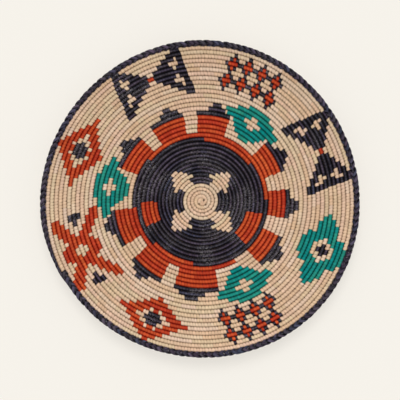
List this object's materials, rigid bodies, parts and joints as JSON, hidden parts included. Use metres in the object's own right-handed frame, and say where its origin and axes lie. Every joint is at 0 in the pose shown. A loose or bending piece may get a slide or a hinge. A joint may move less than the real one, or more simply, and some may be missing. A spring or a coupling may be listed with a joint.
{
  "type": "coiled basketry wall plate",
  "caption": "Shallow coiled basketry wall plate with a stepped ring pattern, wound from one wrapped coil and bound with a braided rim.",
  "frame": {"origin": "on the resting face of the back, under the middle where the coil starts", "axes": "+Z out of the decorated face, +Y towards the top of the plate as pictured, +X to its right"},
  "size_m": [0.3788, 0.3767, 0.028],
  "materials": {
    "natural_strand": "undyed plant fibre, matt, with small shifts from stitch to stitch",
    "navy_strand": "plant fibre dyed blue-black, matt to faintly waxy",
    "rust_strand": "plant fibre dyed orange-red, varying from row to row",
    "teal_strand": "plant fibre dyed blue-green, matt"
  },
  "bodies": {
    "root": {"start_knot": "natural_strand", "centre_coil": "natural_strand", "navy_disc": "navy_strand", "disc_block_1": "rust_strand", "disc_block_2": "rust_strand", "base_row_navy_1": "navy_strand", "base_row_navy_2": "navy_strand", "base_row_rust_1": "rust_strand", "base_row_rust_2": "rust_strand", "rust_block_1": "rust_strand", "rust_block_2": "rust_strand", "rust_block_3": "rust_strand", "rust_block_4": "rust_strand", "rust_block_5": "rust_strand", "rust_block_6": "rust_strand", "rust_block_7": "rust_strand", "rust_block_8": "rust_strand", "rust_block_9": "rust_strand", "terrace_1": "navy_strand", "terrace_2": "navy_strand", "terrace_3": "navy_strand", "terrace_4": "navy_strand", "terrace_5": "navy_strand", "terrace_6": "navy_strand", "terrace_7": "navy_strand", "terrace_8": "navy_strand", "terrace_9": "navy_strand", "natural_gap_1": "natural_strand", "natural_gap_2": "natural_strand", "natural_gap_3": "natural_strand", "natural_gap_4": "natural_strand", "natural_gap_5": "natural_strand", "natural_gap_6": "natural_strand", "natural_gap_7": "natural_strand", "natural_gap_8": "natural_strand", "natural_gap_9": "natural_strand", "natural_gap_10": "natural_strand", "field_coil": "natural_strand", "rim_core": "natural_strand", "rim_braid": "navy_strand"}
  },
  "joints": []
}
